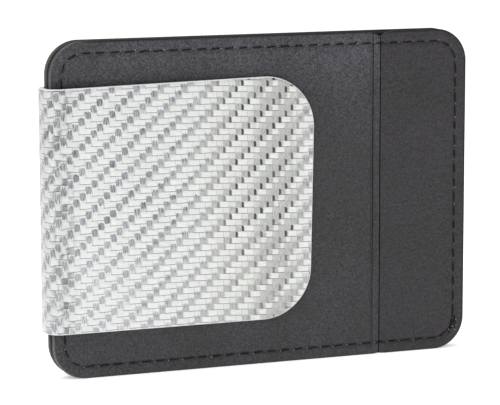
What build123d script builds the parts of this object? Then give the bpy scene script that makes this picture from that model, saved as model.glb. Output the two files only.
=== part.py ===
from build123d import *
import math
import os

# Slim leather card case with a C-shaped composite money clip wrapped round its left edge.
# Units are millimetres. It stands upright: +Z up, the clip's blade faces -Y, and X runs
# along the case's length. The origin is the bottom centre of the whole object's box.

# ---- driving dimensions: case ----
CASE_LENGTH = 100.0
CASE_HEIGHT = 75.0
CASE_CORNER = 7.5
LEATHER = 1.1             # cover leather, front and rear
LINING = 0.35             # lining of the card pocket
POCKET_GAP = 0.8          # inside the pocket, one card thick
BOARD = 0.55              # stiffener board
INTERLINING = 0.35        # soft sheet between board and rear leather
INNER_INSET = 0.4         # inner layers are cut this much smaller than the leather
ROLLED_EDGE = 0.8         # rounding of the leather's outer edge
STRIP_WIDTH = 21.4        # thumb strip at the right-hand end
SLIT_WIDTH = 0.3          # the pocket's mouth
HEM_WIDTH = 1.8           # turned hem at the mouth, marked by a crease
CREASE_WIDTH = 0.35
CREASE_DEPTH = 0.2
FILLER_WIDTH = 4.4        # spacer strips round the pocket

# ---- driving dimensions: stitching ----
SEAM_INSET = 2.7
STITCH_PITCH = 3.33
STITCH_GAP = 0.7          # from the end of one stitch to the start of the next
THREAD_RADIUS = 0.2
TRACK_WIDTH = 0.8         # groove that the thread is sunk into, flush with the leather
TRACK_DEPTH = 0.43
LOCK_INSET = 1.6          # short second row that locks the seam's ends
LOCK_PITCH = 2.2

# ---- driving dimensions: clip ----
SPINE_HEIGHT = 54.1       # the clip is a little taller at its free end than at its bend
TIP_HEIGHT = 55.5
SPINE_RISE = 0.3          # spine's middle above the case's middle
TIP_RISE = 0.75           # free end's middle above the case's middle
TIP_LEAN = 1.1            # free end's bottom corner falls short of its top one
FACE_PLY = 0.25           # aluminised glass twill, outside and inside
CORE_PLY = 0.7            # plain glass laminate between them
BEND_RADIUS = 3.4         # outside of each of the bend's two corners
BLADE_STANDOFF = 1.3      # inside of the blade to the leather where it leaves the bend
EDGE_CLEARANCE = 0.4      # inside of the bend to the case's left edge
LEG_LENGTH = 45.0         # rear leg, from the bend's centre
BLADE_LENGTH = 59.9       # front blade, from the bend's centre
BLADE_CORNER = 11.5
LEG_CORNER = 4.0
FLARE_LENGTH = 7.0        # the free end curls away from the case
FLARE_RADIUS = 60.0
BLADE_GAP = 0.3           # blade to leather at the line where it presses
HINGE_OFFSET = 1.5        # blade flexes about a line this far past the bend's centre
SPLIT_GAP = 0.05

# ---- driving dimensions: sleeve on the rear ----
SLEEVE_LEATHER = 0.9
SLEEVE_LINING = 0.5       # between the rear leather and the clip's leg
SLEEVE_START = 4.6        # from the case's left edge
SLEEVE_FLANGE = 4.0       # flat margin that carries the seam
SLEEVE_SEAM_INSET = 1.6
SLEEVE_CORNER = 6.0
SLEEVE_ROOM = 0.05        # round the leg's thickness
SLEEVE_SIDE_ROOM = 0.6    # past the leg's top, bottom and end

# ---- derived ----
CLIP_THICKNESS = 2 * FACE_PLY + CORE_PLY
CASE_THICKNESS = 2 * LEATHER + 2 * LINING + POCKET_GAP + BOARD + INTERLINING
HALF_CASE = CASE_THICKNESS / 2
SPINE_REACH = EDGE_CLEARANCE + CLIP_THICKNESS         # clip's spine past the case's edge
LEG_OUTER = HALF_CASE + SLEEVE_LINING + SLEEVE_ROOM + CLIP_THICKNESS
BLADE_FRONT = -HALF_CASE - BLADE_STANDOFF - CLIP_THICKNESS
BEND_X = -CASE_LENGTH / 2 - SPINE_REACH + BEND_RADIUS
BEND_Y = BLADE_FRONT + BEND_RADIUS                    # front corner's centre
SPINE_FLAT = LEG_OUTER - BLADE_FRONT - 2 * BEND_RADIUS
PRESS_X = BLADE_LENGTH - FLARE_LENGTH
BLADE_TILT = math.degrees(math.asin((BLADE_STANDOFF - BLADE_GAP) / PRESS_X))
SLEEVE_OUTER = LEG_OUTER + SLEEVE_ROOM + SLEEVE_LEATHER
CLIP_MIDDLE = CASE_HEIGHT / 2 + SPINE_RISE
TIP_MIDDLE = CASE_HEIGHT / 2 + TIP_RISE
SLIT_X = CASE_LENGTH / 2 - STRIP_WIDTH                # right side of the mouth

# The whole object's box is centred on the origin in X and Y.
SHIFT = Pos(SPINE_REACH / 2, -(BLADE_FRONT + SLEEVE_OUTER) / 2, 0)


def slab(outline, y_front, thickness):
    """A flat outline, drawn with x across and y up, made solid backwards from y_front."""
    return Pos(0, y_front, 0) * extrude(Plane.XZ * outline, amount=thickness, dir=(0, 1, 0))


def case_outline(inset=0.0):
    """The case's rounded rectangle, drawn this much smaller all round."""
    size = (CASE_LENGTH - 2 * inset, CASE_HEIGHT - 2 * inset)
    return Pos(0, CASE_HEIGHT / 2) * RectangleRounded(*size, CASE_CORNER - inset)


def region(x_low, x_high, z_low=-1.0, z_high=CASE_HEIGHT + 1):
    """A plain rectangle between two x and two z values."""
    middle = Pos((x_low + x_high) / 2, (z_low + z_high) / 2)
    return middle * Rectangle(x_high - x_low, z_high - z_low)


def rolled(solid, y_face):
    """Round the edges that lie on the visible face y_face."""
    edges = solid.edges().filter_by(lambda e: abs(e.center().Y - y_face) < 1e-4)
    return fillet(edges, ROLLED_EDGE)


def seam_path():
    """Centre line of the perimeter seam."""
    return case_outline(SEAM_INSET).wire()


def lock_path():
    """Second row round the bottom right-hand corner, where the seam's ends are locked."""
    centre = (CASE_LENGTH / 2 - CASE_CORNER, CASE_CORNER)
    return CenterArc(centre, CASE_CORNER - LOCK_INSET, -80, 70)


def track(path, y_face, inward):
    """The sunken groove that a row of stitches lies in; inward is 1 for a front face."""
    y_front = y_face if inward > 0 else y_face - TRACK_DEPTH
    return slab(trace(path, line_width=TRACK_WIDTH), y_front, TRACK_DEPTH)


def stitches(path, y_middle, pitch=STITCH_PITCH):
    """Separate short bars of thread at an even pitch along a flat path."""
    count = round(path.length / pitch)
    gap = STITCH_GAP / 2 / path.length
    made = []
    for i in range(count):
        a, b = path @ (i / count + gap), path @ ((i + 1) / count - gap)
        start, end = Vector(a.X, y_middle, a.Y), Vector(b.X, y_middle, b.Y)
        bar = Plane(start, z_dir=end - start) * Circle(THREAD_RADIUS)
        made.append(extrude(bar, amount=(end - start).length))
    return Compound(children=made)


def front_leather():
    """Pocket face with its turned hem, and the thumb strip beside it."""
    y_face = -HALF_CASE
    mouth = SLIT_X - SLIT_WIDTH
    face = slab(case_outline() & region(-60, mouth), y_face, LEATHER)
    strip = slab(case_outline() & region(SLIT_X, 60), y_face, LEATHER)
    crease_x = mouth - HEM_WIDTH
    crease = region(crease_x - CREASE_WIDTH / 2, crease_x + CREASE_WIDTH / 2)
    seam = track(seam_path(), y_face, 1)
    lock = track(lock_path(), y_face, 1)
    return {
        "pocket_face_leather": rolled(face, y_face) - seam - slab(crease, y_face, CREASE_DEPTH),
        "thumb_strip_leather": rolled(strip, y_face) - seam - lock,
    }


def inner_layers():
    """Linings, filler strips, board and interlining, from front to rear."""
    outline = case_outline(INNER_INSET)
    y = -HALF_CASE + LEATHER
    made = {
        "pocket_face_lining": slab(outline & region(-60, SLIT_X - SLIT_WIDTH), y, LINING),
        "thumb_strip_lining": slab(outline & region(SLIT_X, 60), y, LINING),
    }
    y += LINING
    x_in = CASE_LENGTH / 2 - FILLER_WIDTH
    z_top = CASE_HEIGHT - FILLER_WIDTH
    strips = [
        region(-60, -x_in),
        region(x_in, 60),
        region(-x_in, x_in, -1, FILLER_WIDTH),
        region(-x_in, x_in, z_top, CASE_HEIGHT + 1),
    ]
    fillers = [slab(outline & strip, y, POCKET_GAP) for strip in strips]
    made["pocket_filler_strips"] = Compound(children=fillers)
    y += POCKET_GAP
    layers = {
        "pocket_back_lining": LINING,
        "stiffener_board": BOARD,
        "rear_interlining": INTERLINING,
    }
    for name, thickness in layers.items():
        made[name] = slab(outline, y, thickness)
        y += thickness
    return made


def rear_leather():
    """Rear cover leather with the track for the far side of the seam."""
    panel = slab(case_outline(), HALF_CASE - LEATHER, LEATHER)
    return rolled(panel, HALF_CASE) - track(seam_path(), HALF_CASE, -1)


def sleeve_bounds(margin):
    """The sleeve's box this far outside the hollow for the leg: x low, x high, z low, z high."""
    low = -CASE_LENGTH / 2 + SLEEVE_START
    high = BEND_X + LEG_LENGTH + SLEEVE_SIDE_ROOM + margin
    half = SPINE_HEIGHT / 2 + SLEEVE_SIDE_ROOM + margin
    return low, high, CLIP_MIDDLE - half, CLIP_MIDDLE + half


def sleeve_outline(margin, corner):
    """The sleeve seen flat: rounded where it is sewn, square where the leg enters."""
    low, high, bottom, top = sleeve_bounds(margin)
    middle = Pos((low + high) / 2, (bottom + top) / 2)
    whole = middle * RectangleRounded(high - low, top - bottom, corner)
    return whole + region(low, low + 2 * corner, bottom, top)


def sleeve_seam():
    """Centre line of the sleeve's three-sided seam."""
    low, high, bottom, top = sleeve_bounds(SLEEVE_LEATHER + SLEEVE_FLANGE - SLEEVE_SEAM_INSET)
    points = [(low, top), (high, top), (high, bottom), (low, bottom)]
    return FilletPolyline(*points, radius=SLEEVE_CORNER - SLEEVE_SEAM_INSET)


def sleeve():
    """Leather cover formed over the clip's rear leg and sewn down on three sides."""
    flange_face = HALF_CASE + SLEEVE_LEATHER
    flange = slab(
        sleeve_outline(SLEEVE_LEATHER + SLEEVE_FLANGE, SLEEVE_CORNER), HALF_CASE, SLEEVE_LEATHER
    )
    raised = slab(
        sleeve_outline(SLEEVE_LEATHER, LEG_CORNER), HALF_CASE, SLEEVE_OUTER - HALF_CASE
    )
    low, high, bottom, top = sleeve_bounds(0)
    hollow_depth = LEG_OUTER + SLEEVE_ROOM - HALF_CASE
    hollow = slab(region(low - 1, high, bottom, top), HALF_CASE, hollow_depth)
    cover = rolled(raised, SLEEVE_OUTER) + flange - hollow - track(sleeve_seam(), flange_face, -1)
    lining = slab(region(low, high, bottom, top), HALF_CASE, SLEEVE_LINING)
    return {"clip_sleeve_leather": cover, "clip_sleeve_lining": lining}


def clip_ply(depth_out, depth_in, x_low, x_high, bend):
    """One ply of the clip seen from above, between two depths below the clip's outside.

    It is drawn about the bend's centre, with the blade between x_low and x_high. With bend
    true it takes in the bend and the rear leg as well."""
    r_out, r_in = BEND_RADIUS - depth_out, BEND_RADIUS - depth_in
    ply = depth_in - depth_out
    straight_end = min(x_high, PRESS_X)
    shape = Pos((x_low + straight_end) / 2, -(r_out + r_in) / 2) * Rectangle(straight_end - x_low, ply)
    if x_high > PRESS_X:
        ring = Circle(FLARE_RADIUS + depth_in) - Circle(FLARE_RADIUS + depth_out)
        flare = x_high - PRESS_X
        reach = Pos(PRESS_X + flare / 2, -BEND_RADIUS) * Rectangle(flare, 2 * BEND_RADIUS)
        shape += (Pos(PRESS_X, -BEND_RADIUS - FLARE_RADIUS) * ring) & reach
    shape = Rot(0, 0, BLADE_TILT) * shape
    if bend:
        ring = Circle(r_out) - Circle(r_in)
        left = Pos(-BEND_RADIUS, 0) * Rectangle(2 * BEND_RADIUS, 3 * BEND_RADIUS)
        below = Pos(0, -BEND_RADIUS) * Rectangle(4 * BEND_RADIUS, 2 * BEND_RADIUS)
        above = Pos(0, BEND_RADIUS) * Rectangle(4 * BEND_RADIUS, 2 * BEND_RADIUS)
        shape += ring & (left + Rot(0, 0, BLADE_TILT) * left) & below
        shape += Pos(-(r_out + r_in) / 2, SPINE_FLAT / 2) * Rectangle(ply, SPINE_FLAT)
        leg = Pos(LEG_LENGTH / 2, (r_out + r_in) / 2) * Rectangle(LEG_LENGTH, ply)
        shape += Pos(0, SPINE_FLAT) * ((ring & left & above) + leg)
    return Pos(BEND_X, BEND_Y) * shape


def clip_outline(x_tip, tip_height, tip_middle, lean, corner):
    """The clip seen from the front: straight from the spine to a rounded end at x_tip."""
    spine_x = BEND_X - BEND_RADIUS
    low, high = CLIP_MIDDLE - SPINE_HEIGHT / 2, CLIP_MIDDLE + SPINE_HEIGHT / 2
    tip_low = (x_tip - lean, tip_middle - tip_height / 2)
    tip_high = (x_tip, tip_middle + tip_height / 2)
    shape = Polygon((spine_x, low), tip_low, tip_high, (spine_x, high), align=None)
    return fillet(shape.vertices().sort_by(Axis.X)[-2:], corner)


def clip_solid(shape, outline):
    """Raise a plan shape and trim it to an outline seen from the front."""
    return extrude(shape, amount=CASE_HEIGHT, dir=(0, 0, 1)) & slab(outline, -15, 30)


def clip_parts():
    """The clip's three plies, divided where the front blade flexes."""
    plies = {
        "outer_twill": (0.0, FACE_PLY),
        "core": (FACE_PLY, FACE_PLY + CORE_PLY),
        "inner_twill": (FACE_PLY + CORE_PLY, CLIP_THICKNESS),
    }
    blade_outline = clip_outline(
        BEND_X + BLADE_LENGTH, TIP_HEIGHT, TIP_MIDDLE, TIP_LEAN, BLADE_CORNER
    )
    leg_outline = clip_outline(BEND_X + LEG_LENGTH, SPINE_HEIGHT, CLIP_MIDDLE, 0, LEG_CORNER)
    made = {}
    for name, (out, inn) in plies.items():
        leg = clip_ply(out, inn, 0.0, HINGE_OFFSET, True)
        blade = clip_ply(out, inn, HINGE_OFFSET + SPLIT_GAP, BLADE_LENGTH + 1, False)
        made["clip_rear_" + name] = clip_solid(leg, leg_outline)
        made["clip_blade_" + name] = clip_solid(blade, blade_outline)
    return made


def seams():
    """Thread that shows on each face, sunk flush into its track."""
    front = -HALF_CASE + THREAD_RADIUS
    return {
        "front_seam_stitches": stitches(seam_path(), front),
        "front_lock_stitches": stitches(lock_path(), front, LOCK_PITCH),
        "rear_seam_stitches": stitches(seam_path(), HALF_CASE - THREAD_RADIUS),
        "sleeve_seam_stitches": stitches(sleeve_seam(), HALF_CASE + SLEEVE_LEATHER - THREAD_RADIUS),
    }


def hinge_point():
    """The line on the blade's outside about which it flexes."""
    turn = Location((BEND_X, BEND_Y, 0)) * Rot(0, 0, BLADE_TILT)
    return turn * Pos(HINGE_OFFSET, -BEND_RADIUS, 0)


os.makedirs("parts", exist_ok=True)
parts = front_leather() | inner_layers() | clip_parts() | seams() | sleeve()
parts["rear_leather"] = rear_leather()
for name, part in parts.items():
    solids = [SHIFT * solid for solid in part.solids()]
    export_step(solids[0] if len(solids) == 1 else Compound(solids), f"parts/{name}.step")

pivot = SHIFT.position + hinge_point().position
print("hinge at", round(pivot.X, 4), round(pivot.Y, 4))
print("case thickness", round(CASE_THICKNESS, 3), "centre", SHIFT.position)
print("rear face of sleeve", round(SHIFT.position.Y + SLEEVE_OUTER, 4))
print("front of case", round(SHIFT.position.Y - HALF_CASE, 4), "blade tilt", round(BLADE_TILT, 3))
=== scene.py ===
import math

import bmesh
import bpy
import numpy as np
from mathutils import Matrix, Vector, noise


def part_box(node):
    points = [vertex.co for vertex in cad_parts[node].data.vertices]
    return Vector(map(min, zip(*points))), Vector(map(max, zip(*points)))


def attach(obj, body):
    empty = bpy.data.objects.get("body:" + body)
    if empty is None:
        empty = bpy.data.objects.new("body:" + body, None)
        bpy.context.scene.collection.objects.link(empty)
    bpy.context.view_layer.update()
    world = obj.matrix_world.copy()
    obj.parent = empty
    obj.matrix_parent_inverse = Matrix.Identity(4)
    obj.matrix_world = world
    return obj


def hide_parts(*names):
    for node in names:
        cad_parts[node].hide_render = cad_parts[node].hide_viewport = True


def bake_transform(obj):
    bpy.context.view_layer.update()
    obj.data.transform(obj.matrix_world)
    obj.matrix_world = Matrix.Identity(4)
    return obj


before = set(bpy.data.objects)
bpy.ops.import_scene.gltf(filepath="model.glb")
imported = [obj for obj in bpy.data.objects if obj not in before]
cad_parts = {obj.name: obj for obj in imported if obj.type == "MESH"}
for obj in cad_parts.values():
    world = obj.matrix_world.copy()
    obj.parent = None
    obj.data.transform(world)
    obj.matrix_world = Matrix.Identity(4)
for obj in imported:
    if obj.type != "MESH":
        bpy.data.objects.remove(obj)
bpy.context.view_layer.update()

# Lengths in this script are millimetres until a mesh is made; MM turns them into metres.
MM = 0.001


def box_mm(node):
    """A CAD node's lowest and highest corners in millimetres."""
    low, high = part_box(node)
    return low / MM, high / MM


# ---- places taken from the frame ----
FACE_LOW, FACE_HIGH = box_mm("pocket_face_leather")
STRIP_LOW, STRIP_HIGH = box_mm("thumb_strip_leather")
REAR_LOW, REAR_HIGH = box_mm("rear_leather")
SLEEVE_LOW, SLEEVE_HIGH = box_mm("clip_sleeve_leather")
LEG_LOW, LEG_HIGH = box_mm("clip_rear_outer_twill")
_, BLADE_HIGH = box_mm("clip_blade_outer_twill")

CASE_MIDDLE = ((REAR_LOW.x + REAR_HIGH.x) / 2, REAR_HIGH.z / 2)
CASE_HALF = ((REAR_HIGH.x - REAR_LOW.x) / 2, REAR_HIGH.z / 2)
CASE_CORNER = 7.5
LEATHER = FACE_HIGH.y - FACE_LOW.y
MOUTH = FACE_HIGH.x
SEAM_INSET = 2.7
STITCH_PITCH = 3.33

# ---- clip: driving dimensions, as in the CAD ----
CLIP_THICKNESS = 1.2
BEND_RADIUS = 3.4
FLARE_LENGTH = 7.0
FLARE_RADIUS = 60.0
BLADE_STANDOFF = 1.3
PRESS_GAP = 0.3
BLADE_CORNER = 11.5
TIP_HEIGHT = 55.5
TIP_RISE = 0.75           # the tip's middle above the case's middle
TIP_LEAN = 1.1            # the tip's bottom corner falls short of its top one
CLIP_EDGE = 0.16          # rounding of the laminate's cut edge


# ---------------------------------------------------------------- meshes
def add_mesh(name, vertices, faces, material=None, smooth_angle=40):
    """A mesh object from millimetre vertices, smooth except at sharp edges."""
    mesh = bpy.data.meshes.new(name)
    mesh.from_pydata((np.asarray(vertices) * MM).tolist(), [], faces)
    mesh.validate()
    mesh.polygons.foreach_set("use_smooth", [True] * len(mesh.polygons))
    mesh.set_sharp_from_angle(angle=math.radians(smooth_angle))
    obj = bpy.data.objects.new(name, mesh)
    bpy.context.scene.collection.objects.link(obj)
    if material:
        mesh.materials.append(material)
    return obj


def add_values(obj, name, values):
    """Store one number per vertex for the material to read."""
    layer = obj.data.attributes.new(name, "FLOAT", "POINT")
    layer.data.foreach_set("value", values)


def grid_faces(rows, cols, start=0, flip=False):
    """Quads of a rows x cols grid of vertices stored row by row."""
    quads = []
    for j in range(rows - 1):
        for i in range(cols - 1):
            a = start + j * cols + i
            quad = (a, a + 1, a + cols + 1, a + cols)
            quads.append(quad[::-1] if flip else quad)
    return quads


def rim_indices(rows, cols, start=0):
    """The grid's border, in order: bottom, right, top, left."""
    bottom = [start + i for i in range(cols)]
    right = [start + j * cols + cols - 1 for j in range(1, rows)]
    top = [start + (rows - 1) * cols + i for i in range(cols - 2, -1, -1)]
    left = [start + j * cols for j in range(rows - 2, 0, -1)]
    return bottom + right + top + left


def smoothstep(x, low, high):
    """0 up to low, 1 from high, and smooth between."""
    t = np.clip((x - low) / (high - low), 0, 1)
    return t * t * (3 - 2 * t)


def bump(x, width):
    """A rounded rise of height 1 at 0, gone at about twice the width."""
    return np.exp(-((x / width) ** 2))


# ---------------------------------------------------------------- leather
def rounded_distance(x, z, middle, half, corner):
    """Distance inside a rounded rectangle, arc position of the nearest point, whole length."""
    px, pz = x - middle[0], z - middle[1]
    qx, qz = np.abs(px) - (half[0] - corner), np.abs(pz) - (half[1] - corner)
    in_corner = (qx > 0) & (qz > 0)
    inset = np.where(in_corner, corner - np.hypot(qx, qz), corner - np.maximum(qx, qz))
    straight_z, straight_x = half[1] - corner, half[0] - corner
    quarter = straight_z + corner * math.pi / 2 + straight_x
    angle = np.arctan2(np.maximum(qz, 0), np.maximum(qx, 1e-9))
    off_corner = np.where(qx > qz, np.abs(pz), quarter - np.abs(px))
    s = np.where(in_corner, straight_z + corner * angle, off_corner)
    on_right = np.where(pz >= 0, s, 4 * quarter - s)
    on_left = np.where(pz >= 0, 2 * quarter - s, 2 * quarter + s)
    s = np.where(px >= 0, on_right, on_left)
    return inset, s, 4 * quarter


def seam_relief(x, z, middle, half, corner, inset):
    """Depth pressed into the leather by a seam that runs inset inside a rounded rectangle."""
    d, s, length = rounded_distance(
        x, z, middle, (half[0] - inset, half[1] - inset), corner - inset
    )
    pitch = length / round(length / STITCH_PITCH)
    along = (s / pitch + 0.5) % 1.0 - 0.5
    valley = 0.15 * bump(d, 0.5)
    holes = 0.24 * bump(d, 0.3) * bump(along * pitch, 0.4)
    pillow = 0.7 - 0.3 * np.cos(2 * math.pi * along)
    puff = -0.05 * (bump(d - 1.1, 0.7) + bump(d + 1.1, 0.7)) * pillow
    return valley + holes + puff


def waves(x, z, size, height, seed):
    """Gentle unevenness of soft leather."""
    flat = [
        noise.noise(Vector((a / size, b / size, seed)))
        for a, b in zip(np.ravel(x), np.ravel(z))
    ]
    return height * np.reshape(flat, np.shape(x))


# positions of the grid lines in from an edge, closest where the relief is finest
EDGE_STEPS = list(0.75 * np.linspace(0, 1, 9) ** 1.3)
SEAM_STEPS = list(np.arange(1.0, 2.05, 0.25)) + list(np.arange(2.1, 3.35, 0.15))
MOUTH_STEPS = [0, 0.02, 0.05, 0.1, 0.16, 0.25, 0.38, 0.55, 0.8, 1.05]
MOUTH_STEPS += list(np.arange(1.25, 2.35, 0.05))

MOUTH_CORNER = 0.7        # rounded top corners at the pocket's mouth
MOUTH_DIP = 1.15          # the V there, and how far it reaches along the strip and the face
DIP_REACH = {"left": 1.3, "right": 2.1}
ROLL = 0.4                # rounding of the covers' outer edges
MOUTH_ROLL = 0.18
SLIT_CLOSING = 0.14       # the strip settles this far over the CAD's open slit
HEM = 1.72                # from the mouth to the crease of the turned hem
CREASE_STEP = 0.42        # from that crease to the fainter one beside it


def spaced(length, low, high, plain=0.42):
    """Positions from 0 to length with given finer steps at each end."""
    span = length - low[-1] - high[-1]
    middle = np.linspace(low[-1], length - high[-1], max(3, round(span / plain)))[1:-1]
    return np.array(list(low) + list(middle) + [length - v for v in reversed(high)])


def corner_steps(corner):
    """Positions across a rounded corner, even round its arc."""
    return list(corner * (1 - np.cos(np.linspace(0, math.pi / 2, round(corner * 4.6)))))


def corner_cut(x, corner):
    """How far a rounded corner takes the edge in, at a distance x from the side."""
    reach = np.clip(corner - x, 0, corner)
    return corner - np.sqrt(corner**2 - reach**2)


def panel_grid(low, high, mouth=None):
    """Grid points of a case leather: large corners, except small ones at the pocket's mouth."""
    width, height = high[0] - low[0], high[1] - low[1]
    at_left = MOUTH_STEPS if mouth == "left" else corner_steps(CASE_CORNER)
    at_right = MOUTH_STEPS if mouth == "right" else corner_steps(CASE_CORNER)
    x = spaced(width, at_left, at_right)
    cut = corner_cut(x, MOUTH_CORNER if mouth == "left" else CASE_CORNER)
    cut = cut + corner_cut(width - x, MOUTH_CORNER if mouth == "right" else CASE_CORNER)
    dip = np.zeros(len(x))
    if mouth:
        from_mouth = x if mouth == "left" else width - x
        dip = MOUTH_DIP * np.exp(-from_mouth / DIP_REACH[mouth])
    v = spaced(height, EDGE_STEPS + SEAM_STEPS, EDGE_STEPS + SEAM_STEPS) / height
    bottom = np.where(dip > 0.01, np.minimum(cut, 0.12), cut) if mouth else cut
    top = height - np.maximum(cut, dip)
    grid_x = np.tile(low[0] + x, (len(v), 1))
    grid_z = low[1] + bottom + v[:, None] * (top - bottom)
    return grid_x, grid_z


def shell(name, x, z, y_face, y_back, material):
    """A closed sheet of leather: relief on one side, a flat or shaped back, painted cut edges."""
    rows, cols = x.shape
    face = np.stack([x, y_face, z], -1).reshape(-1, 3)
    forward = np.mean(y_face) < np.mean(y_back)
    faces = grid_faces(rows, cols, 0, flip=not forward)
    rim = rim_indices(rows, cols)
    if np.ndim(y_back) == 0:
        back = face[rim].copy()
        back[:, 1] = y_back
        vertices = np.vstack([face, back])
        low_rim = [len(face) + i for i in range(len(rim))]
        faces.append(tuple(low_rim[::-1] if forward else low_rim))
    else:
        back = np.stack([x, y_back, z], -1).reshape(-1, 3)
        vertices = np.vstack([face, back])
        faces += grid_faces(rows, cols, len(face), flip=forward)
        low_rim = [len(face) + i for i in rim]
    walls_from = len(faces)
    for k in range(len(rim)):
        n = (k + 1) % len(rim)
        wall = (rim[k], low_rim[k], low_rim[n], rim[n])
        faces.append(wall if forward else wall[::-1])
    obj = add_mesh(name, vertices, faces, material)
    obj.data.materials.append(edge_paint)
    for polygon in obj.data.polygons[walls_from:]:
        polygon.material_index = 1
    return obj


def rolled(d, radius):
    """Depth of a rounded edge at distance d inside the outline."""
    t = np.clip(radius - d, 0, radius)
    return radius - np.sqrt(np.maximum(radius**2 - t**2, 0))


def case_relief(x, z):
    """Rolled outer edge and perimeter seam, the same on every cover leather."""
    d, _, _ = rounded_distance(x, z, CASE_MIDDLE, CASE_HALF, CASE_CORNER)
    seam = seam_relief(x, z, CASE_MIDDLE, CASE_HALF, CASE_CORNER, SEAM_INSET)
    return rolled(d, ROLL) + seam


def mouth_relief(from_mouth, z, hem):
    """Rounded mouth edge that sinks at the top and bottom, with the hem's double crease."""
    end = np.minimum(z - FACE_LOW.z, FACE_HIGH.z - z)
    depth = rolled(from_mouth, MOUTH_ROLL)
    depth = depth + 0.5 * bump(from_mouth, 0.9) * bump(np.maximum(end, 0), 1.6)
    if hem:
        inside_seam = smoothstep(end, 0.6, 2.4)
        pressed = 0.22 + 0.1 * smoothstep(z, 5, 60)
        depth = depth + 0.05 * smoothstep(from_mouth, HEM - 0.1, HEM + 0.3)
        depth = depth + inside_seam * pressed * bump(from_mouth - HEM, 0.11)
        depth = depth + inside_seam * 0.13 * bump(from_mouth - HEM - CREASE_STEP, 0.12)
    return depth


def edge_highlight_side(x, z):
    """How strong the painted edge highlight is: full at the bend's side, less along the bottom."""
    to_left, to_bottom = CASE_MIDDLE[0] - x, CASE_MIDDLE[1] - z
    beside_bend = smoothstep(to_left, CASE_HALF[0] - 12, CASE_HALF[0] - 3)
    return np.maximum(beside_bend, 0.6 * smoothstep(to_bottom, CASE_HALF[1] - 4, CASE_HALF[1]))


def edge_light_and_shade(x, z, seed):
    """Painted light on the edge: a pale highlight line at the bend's side and the bottom, painted
    dark shade on the rest (negative).
    """
    d, _, _ = rounded_distance(x, z, CASE_MIDDLE, CASE_HALF, CASE_CORNER)
    pale = edge_highlight_side(x, z)
    patchy = 0.75 + waves(x, z, 9, 0.9, seed)
    return pale * bump(d - 0.12, 0.16) * patchy - 1.3 * (1 - pale) * bump(d, 0.42)


def painted_sheen_amount(x, z):
    """Painted sheen: lighter along the top, a little along the bottom, and beside the pocket's
    mouth.
    """
    along_top = 0.75 * smoothstep(z, FACE_HIGH.z - 17, FACE_HIGH.z - 4)
    along_bottom = 0.16 * smoothstep(FACE_LOW.z + 18 - z, 0, 12)
    beside_mouth = 0.6 * bump(x - (MOUTH - 7), 7) * bump(z - (FACE_HIGH.z - 8), 9)
    return np.clip(along_top + along_bottom + beside_mouth + waves(x, z, 12, 0.35, 21.0), 0, 1)


def case_leather(name, low, high, mouth, outward, seed, material):
    """One cover leather of the case, with its seam, rolled edge, hem and gentle unevenness."""
    x, z = panel_grid((low.x, low.z), (high.x, high.z), mouth)
    depth = case_relief(x, z) + np.maximum(waves(x, z, 16, 0.06, seed), -0.02)
    if mouth:
        from_mouth = x - low.x if mouth == "left" else high.x - x
        depth = depth + mouth_relief(from_mouth, z, mouth == "right")
    depth = np.minimum(depth, LEATHER - 0.1)
    face, back = (low.y + depth, high.y) if outward < 0 else (high.y - depth, low.y)
    obj = shell(name, x, z, face, back, material)
    # painted highlight (positive) and painted shade (negative) along the edges
    painted_light_and_shade = np.ravel(edge_light_and_shade(x, z, seed + 2.5))
    # painted shade in the crease of the turned hem
    if mouth == "right":
        painted_light_and_shade = painted_light_and_shade - np.ravel(bump(from_mouth - HEM, 0.13) * smoothstep(z - low.z, 0, 65))
    back = np.array([(v.co.x / MM, v.co.z / MM) for v in obj.data.vertices[len(painted_light_and_shade):]])
    # painted highlight along the inner corner of the rear cover's cut edge
    inner = edge_highlight_side(back[:, 0], back[:, 1]) if outward > 0 else np.zeros(len(back))
    add_values(obj, "painted_light_and_shade", np.append(painted_light_and_shade, inner))
    # painted sheen: full on the pocket's face, faint on the other covers
    painted_sheen = np.ravel(painted_sheen_amount(x, z)) * (1.0 if mouth == "right" else 0.1)
    add_values(obj, "painted_sheen", np.append(painted_sheen, np.zeros(len(back))))
    return obj


# ---------------------------------------------------------------- stitches
THREAD_RADIUS = 0.14
THREAD_SIDES = 8
THREAD_STEPS = 12
PLY_TURN = 0.9            # length over which the two plies make half a turn
STITCH_GAP = 0.6          # between the ends of two stitches
SHORTER = 0.35            # how much short of that a stitch's end may fall
SLANT = 0.08              # how far each end lies off the seam's line
SPECK_RADIUS = 0.13
SPECK_CHANCE = {"level": 0.8, "upright": 0.55}


def thread_segment(start, end, outward, lift):
    """One stitch as an arched two-ply thread that dives into the leather at both ends."""
    start, end = np.array(start), np.array(end)
    along = (end - start) / np.linalg.norm(end - start)
    out = np.array([0.0, outward, 0.0])
    side = np.cross(along, out)
    length = np.linalg.norm(end - start)
    vertices, faces = [], []
    for k in range(THREAD_STEPS + 1):
        t = k / THREAD_STEPS
        dive = 0.42 * (abs(2 * t - 1) ** 7)
        centre = start + along * t * length + out * (lift - dive)
        twist = t * length / PLY_TURN * math.pi
        taper = 1.0 - 0.25 * abs(2 * t - 1) ** 6
        for m in range(THREAD_SIDES):
            a = 2 * math.pi * m / THREAD_SIDES
            r = THREAD_RADIUS * taper * (0.86 + 0.14 * abs(math.cos(a - twist)))
            vertices.append(centre + r * (math.cos(a) * side + math.sin(a) * out))
    for k in range(THREAD_STEPS):
        for m in range(THREAD_SIDES):
            n = (m + 1) % THREAD_SIDES
            a, b = k * THREAD_SIDES, (k + 1) * THREAD_SIDES
            faces.append((a + m, a + n, b + n, b + m))
    last = THREAD_STEPS * THREAD_SIDES
    faces.append(tuple(range(THREAD_SIDES))[::-1])
    faces.append(tuple(last + m for m in range(THREAD_SIDES)))
    return vertices, faces


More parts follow.
